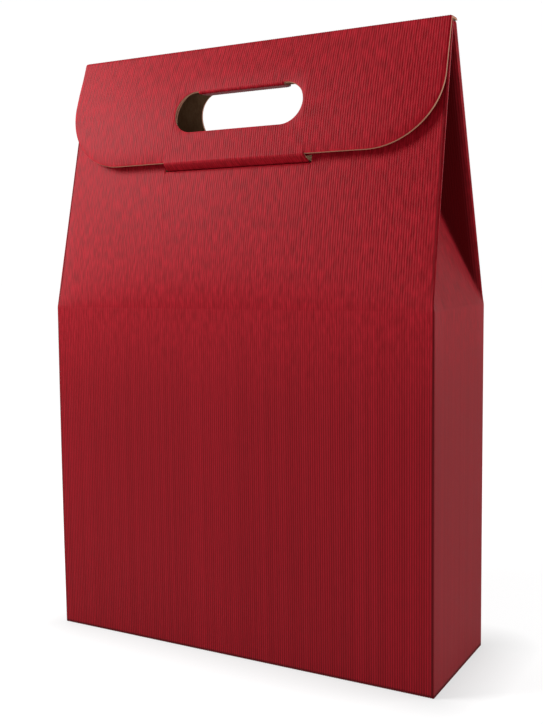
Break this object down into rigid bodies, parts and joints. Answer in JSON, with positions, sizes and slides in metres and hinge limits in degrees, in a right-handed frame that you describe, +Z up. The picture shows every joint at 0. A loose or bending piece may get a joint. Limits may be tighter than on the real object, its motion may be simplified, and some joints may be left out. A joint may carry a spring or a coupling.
{
  "type": "bottle shipping box",
  "caption": "Carrier carton of fine open-flute board for wine bottles: upright walls, gusseted leaning top, swing-over lid with tuck tab and a hand hole.",
  "frame": {"origin": "middle of the bottom face", "axes": "+X along the ridge, -Y towards the front panel that the lid covers, +Z up"},
  "size_m": [0.255, 0.085, 0.3641],
  "materials": {
    "board": "matt dark red open flute, brown kraft inside",
    "kraft": "plain brown kraft"
  },
  "bodies": {
    "carton": {"carton_body": "board", "bottle_divider": "kraft"},
    "lid": {"lid": "board"},
    "hand_flap": {"hand_hole_flap": "board"}
  },
  "joints": [
    {"name": "lid_hinge", "type": "hinge", "parent": "carton", "child": "lid", "pos_m": [0, 0.0039, 0.3625], "axis": [-1, 0, 0], "range_deg": [0, 205]},
    {"name": "hand_flap_hinge", "type": "hinge", "parent": "lid", "child": "hand_flap", "pos_m": [0, -0.01225, 0.33621], "axis": [-1, 0, 0], "range_deg": [0, 109]}
  ]
}
